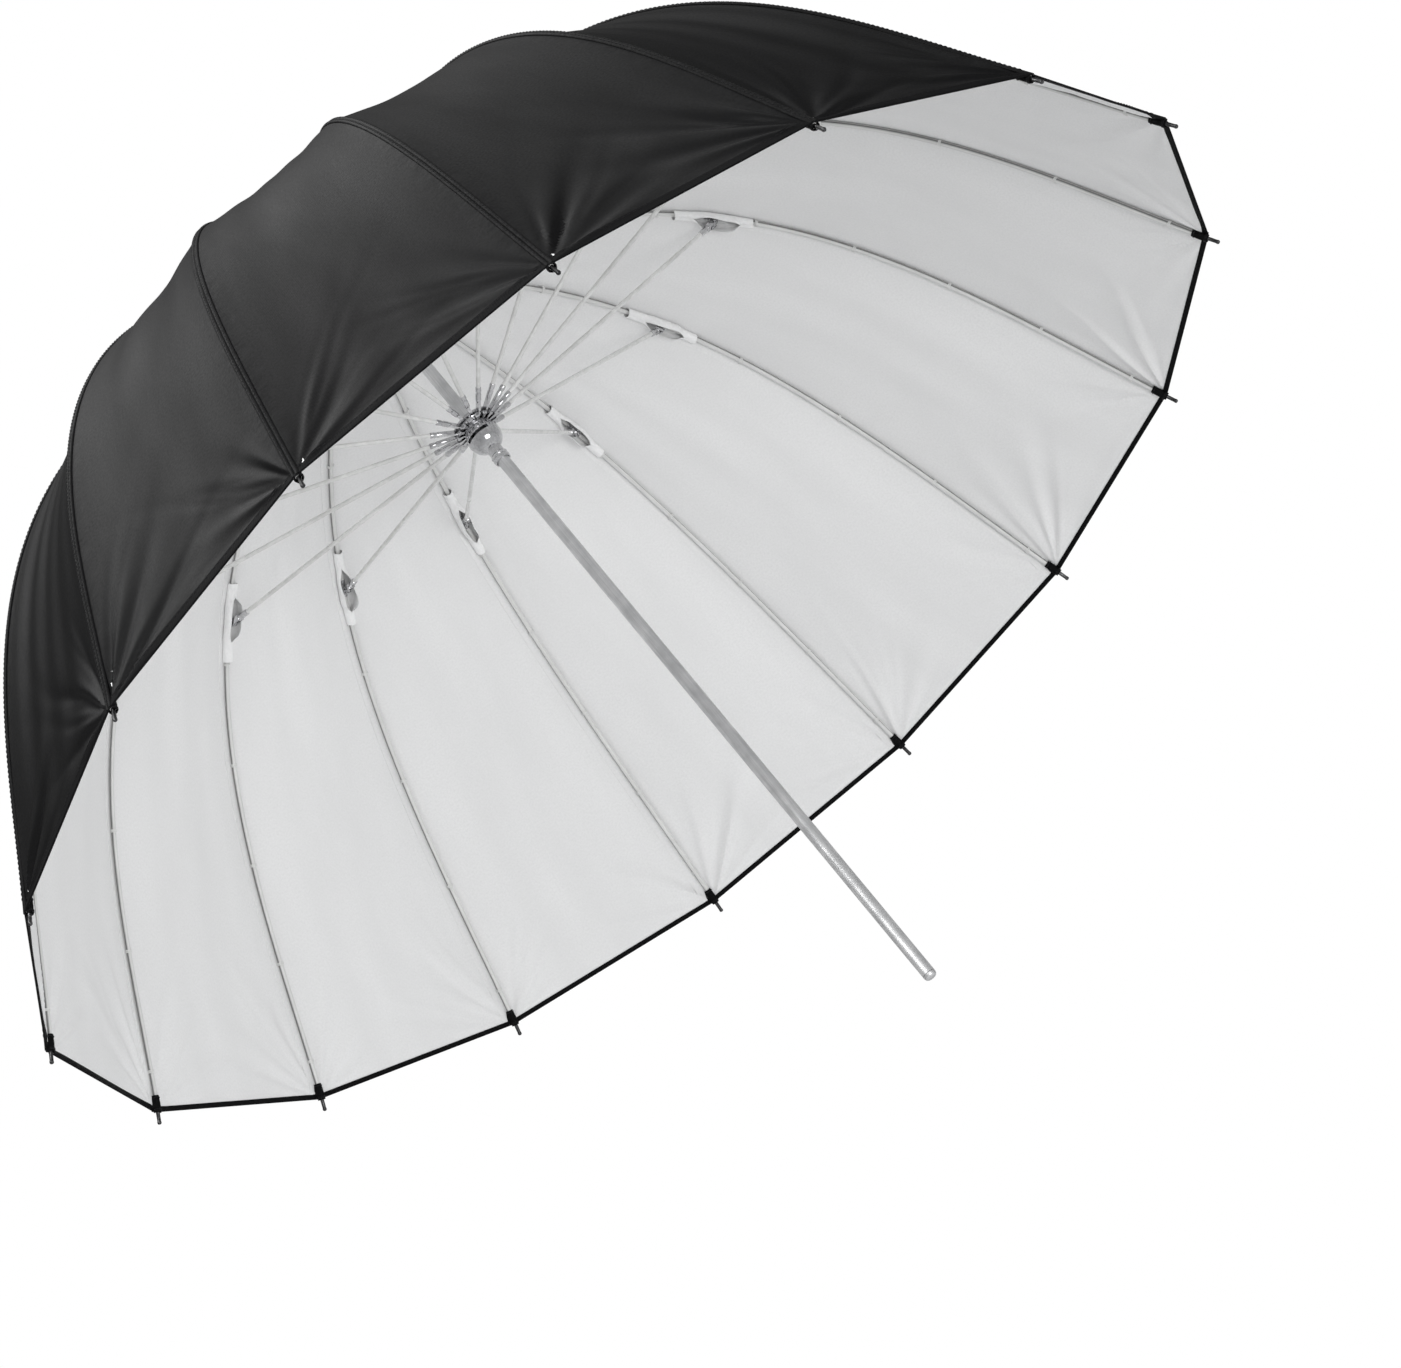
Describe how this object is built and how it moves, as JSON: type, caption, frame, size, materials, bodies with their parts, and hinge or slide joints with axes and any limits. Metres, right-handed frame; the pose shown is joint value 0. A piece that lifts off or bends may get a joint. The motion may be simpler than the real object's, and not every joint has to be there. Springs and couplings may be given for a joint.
{
  "type": "umbrella reflector",
  "caption": "Deep studio umbrella reflector, black outside and white inside, on a slender metal shaft, whose ribs fold down as the runner slides.",
  "frame": {"origin": "point on the shaft's axis where a stand's umbrella holder grips it, 100 mm above the free end", "axes": "+Z along the shaft from its free end towards the apex; the first rib lies in the XZ plane on the +X side"},
  "size_m": [0.851, 0.851, 0.605],
  "materials": {
    "satin_steel": "satin",
    "chrome": "polished",
    "spring_steel": "bright drawn",
    "black_plastic": "matt",
    "fibreglass": "satin",
    "white_rod": "satin",
    "black_cloth": "satin nylon, white inside"
  },
  "bodies": {
    "shaft": {"shaft": "satin_steel", "shaft_tail_cap": "satin_steel", "crown": "chrome", "crown_wire": "spring_steel", "crown_pin": "satin_steel", "canopy_washer": "black_plastic", "ferrule": "black_plastic", "catch_pin": "spring_steel"},
    "runner": {"runner": "chrome", "runner_wire": "spring_steel"},
    "catch": {"catch_spring": "spring_steel"},
    "rib_01": {"rib_01": "fibreglass"},
    "stretcher_01": {"stretcher_01": "white_rod"},
    "gore_01": {"gore_01": "black_cloth"},
    "rib_02": {"rib_02": "fibreglass"},
    "stretcher_02": {"stretcher_02": "white_rod"},
    "gore_02": {"gore_02": "black_cloth"},
    "rib_03": {"rib_03": "fibreglass"},
    "stretcher_03": {"stretcher_03": "white_rod"},
    "gore_03": {"gore_03": "black_cloth"},
    "rib_04": {"rib_04": "fibreglass"},
    "stretcher_04": {"stretcher_04": "white_rod"},
    "gore_04": {"gore_04": "black_cloth"},
    "rib_05": {"rib_05": "fibreglass"},
    "stretcher_05": {"stretcher_05": "white_rod"},
    "gore_05": {"gore_05": "black_cloth"},
    "rib_06": {"rib_06": "fibreglass"},
    "stretcher_06": {"stretcher_06": "white_rod"},
    "gore_06": {"gore_06": "black_cloth"},
    "rib_07": {"rib_07": "fibreglass"},
    "stretcher_07": {"stretcher_07": "white_rod"},
    "gore_07": {"gore_07": "black_cloth"},
    "rib_08": {"rib_08": "fibreglass"},
    "stretcher_08": {"stretcher_08": "white_rod"},
    "gore_08": {"gore_08": "black_cloth"},
    "rib_09": {"rib_09": "fibreglass"},
    "stretcher_09": {"stretcher_09": "white_rod"},
    "gore_09": {"gore_09": "black_cloth"},
    "rib_10": {"rib_10": "fibreglass"},
    "stretcher_10": {"stretcher_10": "white_rod"},
    "gore_10": {"gore_10": "black_cloth"},
    "rib_11": {"rib_11": "fibreglass"},
    "stretcher_11": {"stretcher_11": "white_rod"},
    "gore_11": {"gore_11": "black_cloth"},
    "rib_12": {"rib_12": "fibreglass"},
    "stretcher_12": {"stretcher_12": "white_rod"},
    "gore_12": {"gore_12": "black_cloth"},
    "rib_13": {"rib_13": "fibreglass"},
    "stretcher_13": {"stretcher_13": "white_rod"},
    "gore_13": {"gore_13": "black_cloth"},
    "rib_14": {"rib_14": "fibreglass"},
    "stretcher_14": {"stretcher_14": "white_rod"},
    "gore_14": {"gore_14": "black_cloth"},
    "rib_15": {"rib_15": "fibreglass"},
    "stretcher_15": {"stretcher_15": "white_rod"},
    "gore_15": {"gore_15": "black_cloth"},
    "rib_16": {"rib_16": "fibreglass"},
    "stretcher_16": {"stretcher_16": "white_rod"},
    "gore_16": {"gore_16": "black_cloth"}
  },
  "joints": [
    {"name": "runner_slide", "type": "slide", "parent": "shaft", "child": "runner", "axis": [0, 0, -1], "range_m": [0, 0.30415]},
    {"name": "catch_press", "type": "hinge", "parent": "shaft", "child": "catch", "pos_m": [0, 0, 0.306], "axis": [-1, 0, 0], "range_deg": [0, 3.1], "stiffness_Nm_per_rad": 1},
    {"name": "rib_01_fold", "type": "hinge", "parent": "shaft", "child": "rib_01", "pos_m": [0.011, 0, 0.48], "axis": [0, 1, 0], "range_deg": [0, 51.54]},
    {"name": "stretcher_01_pivot", "type": "hinge", "parent": "rib_01", "child": "stretcher_01", "pos_m": [0.24016, 0, 0.42687], "axis": [0, -1, 0], "range_deg": [0, 99.16]},
    {"name": "gore_01_gather", "type": "hinge", "parent": "rib_01", "child": "gore_01", "pos_m": [0.00201, 0.0004, 0.47566], "axis": [-0.8864, -0.1763, -0.4279], "range_deg": [0, 19.46], "deforming": ["gore_01"]},
    {"name": "rib_02_fold", "type": "hinge", "parent": "shaft", "child": "rib_02", "pos_m": [0.01016, 0.00421, 0.48], "axis": [-0.3827, 0.9239, 0], "range_deg": [0, 51.54]},
    {"name": "stretcher_02_pivot", "type": "hinge", "parent": "rib_02", "child": "stretcher_02", "pos_m": [0.22188, 0.09191, 0.42687], "axis": [0.3827, -0.9239, 0], "range_deg": [0, 99.16]},
    {"name": "gore_02_gather", "type": "hinge", "parent": "rib_02", "child": "gore_02", "pos_m": [0.00171, 0.00114, 0.47566], "axis": [-0.7515, -0.5021, -0.4279], "range_deg": [0, 19.46], "deforming": ["gore_02"]},
    {"name": "rib_03_fold", "type": "hinge", "parent": "shaft", "child": "rib_03", "pos_m": [0.00778, 0.00778, 0.48], "axis": [-0.7071, 0.7071, 0], "range_deg": [0, 51.54]},
    {"name": "stretcher_03_pivot", "type": "hinge", "parent": "rib_03", "child": "stretcher_03", "pos_m": [0.16982, 0.16982, 0.42687], "axis": [0.7071, -0.7071, 0], "range_deg": [0, 99.16]},
    {"name": "gore_03_gather", "type": "hinge", "parent": "rib_03", "child": "gore_03", "pos_m": [0.00114, 0.00171, 0.47566], "axis": [-0.5021, -0.7515, -0.4279], "range_deg": [0, 19.46], "deforming": ["gore_03"]},
    {"name": "rib_04_fold", "type": "hinge", "parent": "shaft", "child": "rib_04", "pos_m": [0.00421, 0.01016, 0.48], "axis": [-0.9239, 0.3827, 0], "range_deg": [0, 51.54]},
    {"name": "stretcher_04_pivot", "type": "hinge", "parent": "rib_04", "child": "stretcher_04", "pos_m": [0.09191, 0.22188, 0.42687], "axis": [0.9239, -0.3827, 0], "range_deg": [0, 99.16]},
    {"name": "gore_04_gather", "type": "hinge", "parent": "rib_04", "child": "gore_04", "pos_m": [0.0004, 0.00201, 0.47566], "axis": [-0.1763, -0.8864, -0.4279], "range_deg": [0, 19.46], "deforming": ["gore_04"]},
    {"name": "rib_05_fold", "type": "hinge", "parent": "shaft", "child": "rib_05", "pos_m": [0, 0.011, 0.48], "axis": [-1, 0, 0], "range_deg": [0, 51.54]},
    {"name": "stretcher_05_pivot", "type": "hinge", "parent": "rib_05", "child": "stretcher_05", "pos_m": [0, 0.24016, 0.42687], "axis": [1, 0, 0], "range_deg": [0, 99.16]},
    {"name": "gore_05_gather", "type": "hinge", "parent": "rib_05", "child": "gore_05", "pos_m": [-0.0004, 0.00201, 0.47566], "axis": [0.1763, -0.8864, -0.4279], "range_deg": [0, 19.46], "deforming": ["gore_05"]},
    {"name": "rib_06_fold", "type": "hinge", "parent": "shaft", "child": "rib_06", "pos_m": [-0.00421, 0.01016, 0.48], "axis": [-0.9239, -0.3827, 0], "range_deg": [0, 51.54]},
    {"name": "stretcher_06_pivot", "type": "hinge", "parent": "rib_06", "child": "stretcher_06", "pos_m": [-0.09191, 0.22188, 0.42687], "axis": [0.9239, 0.3827, 0], "range_deg": [0, 99.16]},
    {"name": "gore_06_gather", "type": "hinge", "parent": "rib_06", "child": "gore_06", "pos_m": [-0.00114, 0.00171, 0.47566], "axis": [0.5021, -0.7515, -0.4279], "range_deg": [0, 19.46], "deforming": ["gore_06"]},
    {"name": "rib_07_fold", "type": "hinge", "parent": "shaft", "child": "rib_07", "pos_m": [-0.00778, 0.00778, 0.48], "axis": [-0.7071, -0.7071, 0], "range_deg": [0, 51.54]},
    {"name": "stretcher_07_pivot", "type": "hinge", "parent": "rib_07", "child": "stretcher_07", "pos_m": [-0.16982, 0.16982, 0.42687], "axis": [0.7071, 0.7071, 0], "range_deg": [0, 99.16]},
    {"name": "gore_07_gather", "type": "hinge", "parent": "rib_07", "child": "gore_07", "pos_m": [-0.00171, 0.00114, 0.47566], "axis": [0.7515, -0.5021, -0.4279], "range_deg": [0, 19.46], "deforming": ["gore_07"]},
    {"name": "rib_08_fold", "type": "hinge", "parent": "shaft", "child": "rib_08", "pos_m": [-0.01016, 0.00421, 0.48], "axis": [-0.3827, -0.9239, 0], "range_deg": [0, 51.54]},
    {"name": "stretcher_08_pivot", "type": "hinge", "parent": "rib_08", "child": "stretcher_08", "pos_m": [-0.22188, 0.09191, 0.42687], "axis": [0.3827, 0.9239, 0], "range_deg": [0, 99.16]},
    {"name": "gore_08_gather", "type": "hinge", "parent": "rib_08", "child": "gore_08", "pos_m": [-0.00201, 0.0004, 0.47566], "axis": [0.8864, -0.1763, -0.4279], "range_deg": [0, 19.46], "deforming": ["gore_08"]},
    {"name": "rib_09_fold", "type": "hinge", "parent": "shaft", "child": "rib_09", "pos_m": [-0.011, 0, 0.48], "axis": [0, -1, 0], "range_deg": [0, 51.54]},
    {"name": "stretcher_09_pivot", "type": "hinge", "parent": "rib_09", "child": "stretcher_09", "pos_m": [-0.24016, 0, 0.42687], "axis": [0, 1, 0], "range_deg": [0, 99.16]},
    {"name": "gore_09_gather", "type": "hinge", "parent": "rib_09", "child": "gore_09", "pos_m": [-0.00201, -0.0004, 0.47566], "axis": [0.8864, 0.1763, -0.4279], "range_deg": [0, 19.46], "deforming": ["gore_09"]},
    {"name": "rib_10_fold", "type": "hinge", "parent": "shaft", "child": "rib_10", "pos_m": [-0.01016, -0.00421, 0.48], "axis": [0.3827, -0.9239, 0], "range_deg": [0, 51.54]},
    {"name": "stretcher_10_pivot", "type": "hinge", "parent": "rib_10", "child": "stretcher_10", "pos_m": [-0.22188, -0.09191, 0.42687], "axis": [-0.3827, 0.9239, 0], "range_deg": [0, 99.16]},
    {"name": "gore_10_gather", "type": "hinge", "parent": "rib_10", "child": "gore_10", "pos_m": [-0.00171, -0.00114, 0.47566], "axis": [0.7515, 0.5021, -0.4279], "range_deg": [0, 19.46], "deforming": ["gore_10"]},
    {"name": "rib_11_fold", "type": "hinge", "parent": "shaft", "child": "rib_11", "pos_m": [-0.00778, -0.00778, 0.48], "axis": [0.7071, -0.7071, 0], "range_deg": [0, 51.54]},
    {"name": "stretcher_11_pivot", "type": "hinge", "parent": "rib_11", "child": "stretcher_11", "pos_m": [-0.16982, -0.16982, 0.42687], "axis": [-0.7071, 0.7071, 0], "range_deg": [0, 99.16]},
    {"name": "gore_11_gather", "type": "hinge", "parent": "rib_11", "child": "gore_11", "pos_m": [-0.00114, -0.00171, 0.47566], "axis": [0.5021, 0.7515, -0.4279], "range_deg": [0, 19.46], "deforming": ["gore_11"]},
    {"name": "rib_12_fold", "type": "hinge", "parent": "shaft", "child": "rib_12", "pos_m": [-0.00421, -0.01016, 0.48], "axis": [0.9239, -0.3827, 0], "range_deg": [0, 51.54]},
    {"name": "stretcher_12_pivot", "type": "hinge", "parent": "rib_12", "child": "stretcher_12", "pos_m": [-0.09191, -0.22188, 0.42687], "axis": [-0.9239, 0.3827, 0], "range_deg": [0, 99.16]},
    {"name": "gore_12_gather", "type": "hinge", "parent": "rib_12", "child": "gore_12", "pos_m": [-0.0004, -0.00201, 0.47566], "axis": [0.1763, 0.8864, -0.4279], "range_deg": [0, 19.46], "deforming": ["gore_12"]},
    {"name": "rib_13_fold", "type": "hinge", "parent": "shaft", "child": "rib_13", "pos_m": [0, -0.011, 0.48], "axis": [1, 0, 0], "range_deg": [0, 51.54]},
    {"name": "stretcher_13_pivot", "type": "hinge", "parent": "rib_13", "child": "stretcher_13", "pos_m": [0, -0.24016, 0.42687], "axis": [-1, 0, 0], "range_deg": [0, 99.16]},
    {"name": "gore_13_gather", "type": "hinge", "parent": "rib_13", "child": "gore_13", "pos_m": [0.0004, -0.00201, 0.47566], "axis": [-0.1763, 0.8864, -0.4279], "range_deg": [0, 19.46], "deforming": ["gore_13"]},
    {"name": "rib_14_fold", "type": "hinge", "parent": "shaft", "child": "rib_14", "pos_m": [0.00421, -0.01016, 0.48], "axis": [0.9239, 0.3827, 0], "range_deg": [0, 51.54]},
    {"name": "stretcher_14_pivot", "type": "hinge", "parent": "rib_14", "child": "stretcher_14", "pos_m": [0.09191, -0.22188, 0.42687], "axis": [-0.9239, -0.3827, 0], "range_deg": [0, 99.16]},
    {"name": "gore_14_gather", "type": "hinge", "parent": "rib_14", "child": "gore_14", "pos_m": [0.00114, -0.00171, 0.47566], "axis": [-0.5021, 0.7515, -0.4279], "range_deg": [0, 19.46], "deforming": ["gore_14"]},
    {"name": "rib_15_fold", "type": "hinge", "parent": "shaft", "child": "rib_15", "pos_m": [0.00778, -0.00778, 0.48], "axis": [0.7071, 0.7071, 0], "range_deg": [0, 51.54]},
    {"name": "stretcher_15_pivot", "type": "hinge", "parent": "rib_15", "child": "stretcher_15", "pos_m": [0.16982, -0.16982, 0.42687], "axis": [-0.7071, -0.7071, 0], "range_deg": [0, 99.16]},
    {"name": "gore_15_gather", "type": "hinge", "parent": "rib_15", "child": "gore_15", "pos_m": [0.00171, -0.00114, 0.47566], "axis": [-0.7515, 0.5021, -0.4279], "range_deg": [0, 19.46], "deforming": ["gore_15"]},
    {"name": "rib_16_fold", "type": "hinge", "parent": "shaft", "child": "rib_16", "pos_m": [0.01016, -0.00421, 0.48], "axis": [0.3827, 0.9239, 0], "range_deg": [0, 51.54]},
    {"name": "stretcher_16_pivot", "type": "hinge", "parent": "rib_16", "child": "stretcher_16", "pos_m": [0.22188, -0.09191, 0.42687], "axis": [-0.3827, -0.9239, 0], "range_deg": [0, 99.16]},
    {"name": "gore_16_gather", "type": "hinge", "parent": "rib_16", "child": "gore_16", "pos_m": [0.00201, -0.0004, 0.47566], "axis": [-0.8864, 0.1763, -0.4279], "range_deg": [0, 19.46], "deforming": ["gore_16"]}
  ],
  "couplings": [
    {"joint": "rib_01_fold", "follows": "runner_slide", "rad_per_m": 2.9574},
    {"joint": "stretcher_01_pivot", "follows": "runner_slide", "rad_per_m": 5.6903},
    {"joint": "gore_01_gather", "follows": "runner_slide", "rad_per_m": 1.1167},
    {"joint": "rib_02_fold", "follows": "runner_slide", "rad_per_m": 2.9574},
    {"joint": "stretcher_02_pivot", "follows": "runner_slide", "rad_per_m": 5.6903},
    {"joint": "gore_02_gather", "follows": "runner_slide", "rad_per_m": 1.1167},
    {"joint": "rib_03_fold", "follows": "runner_slide", "rad_per_m": 2.9574},
    {"joint": "stretcher_03_pivot", "follows": "runner_slide", "rad_per_m": 5.6903},
    {"joint": "gore_03_gather", "follows": "runner_slide", "rad_per_m": 1.1167},
    {"joint": "rib_04_fold", "follows": "runner_slide", "rad_per_m": 2.9574},
    {"joint": "stretcher_04_pivot", "follows": "runner_slide", "rad_per_m": 5.6903},
    {"joint": "gore_04_gather", "follows": "runner_slide", "rad_per_m": 1.1167},
    {"joint": "rib_05_fold", "follows": "runner_slide", "rad_per_m": 2.9574},
    {"joint": "stretcher_05_pivot", "follows": "runner_slide", "rad_per_m": 5.6903},
    {"joint": "gore_05_gather", "follows": "runner_slide", "rad_per_m": 1.1167},
    {"joint": "rib_06_fold", "follows": "runner_slide", "rad_per_m": 2.9574},
    {"joint": "stretcher_06_pivot", "follows": "runner_slide", "rad_per_m": 5.6903},
    {"joint": "gore_06_gather", "follows": "runner_slide", "rad_per_m": 1.1167},
    {"joint": "rib_07_fold", "follows": "runner_slide", "rad_per_m": 2.9574},
    {"joint": "stretcher_07_pivot", "follows": "runner_slide", "rad_per_m": 5.6903},
    {"joint": "gore_07_gather", "follows": "runner_slide", "rad_per_m": 1.1167},
    {"joint": "rib_08_fold", "follows": "runner_slide", "rad_per_m": 2.9574},
    {"joint": "stretcher_08_pivot", "follows": "runner_slide", "rad_per_m": 5.6903},
    {"joint": "gore_08_gather", "follows": "runner_slide", "rad_per_m": 1.1167},
    {"joint": "rib_09_fold", "follows": "runner_slide", "rad_per_m": 2.9574},
    {"joint": "stretcher_09_pivot", "follows": "runner_slide", "rad_per_m": 5.6903},
    {"joint": "gore_09_gather", "follows": "runner_slide", "rad_per_m": 1.1167},
    {"joint": "rib_10_fold", "follows": "runner_slide", "rad_per_m": 2.9574},
    {"joint": "stretcher_10_pivot", "follows": "runner_slide", "rad_per_m": 5.6903},
    {"joint": "gore_10_gather", "follows": "runner_slide", "rad_per_m": 1.1167},
    {"joint": "rib_11_fold", "follows": "runner_slide", "rad_per_m": 2.9574},
    {"joint": "stretcher_11_pivot", "follows": "runner_slide", "rad_per_m": 5.6903},
    {"joint": "gore_11_gather", "follows": "runner_slide", "rad_per_m": 1.1167},
    {"joint": "rib_12_fold", "follows": "runner_slide", "rad_per_m": 2.9574},
    {"joint": "stretcher_12_pivot", "follows": "runner_slide", "rad_per_m": 5.6903},
    {"joint": "gore_12_gather", "follows": "runner_slide", "rad_per_m": 1.1167},
    {"joint": "rib_13_fold", "follows": "runner_slide", "rad_per_m": 2.9574},
    {"joint": "stretcher_13_pivot", "follows": "runner_slide", "rad_per_m": 5.6903},
    {"joint": "gore_13_gather", "follows": "runner_slide", "rad_per_m": 1.1167},
    {"joint": "rib_14_fold", "follows": "runner_slide", "rad_per_m": 2.9574},
    {"joint": "stretcher_14_pivot", "follows": "runner_slide", "rad_per_m": 5.6903},
    {"joint": "gore_14_gather", "follows": "runner_slide", "rad_per_m": 1.1167},
    {"joint": "rib_15_fold", "follows": "runner_slide", "rad_per_m": 2.9574},
    {"joint": "stretcher_15_pivot", "follows": "runner_slide", "rad_per_m": 5.6903},
    {"joint": "gore_15_gather", "follows": "runner_slide", "rad_per_m": 1.1167},
    {"joint": "rib_16_fold", "follows": "runner_slide", "rad_per_m": 2.9574},
    {"joint": "stretcher_16_pivot", "follows": "runner_slide", "rad_per_m": 5.6903},
    {"joint": "gore_16_gather", "follows": "runner_slide", "rad_per_m": 1.1167}
  ]
}
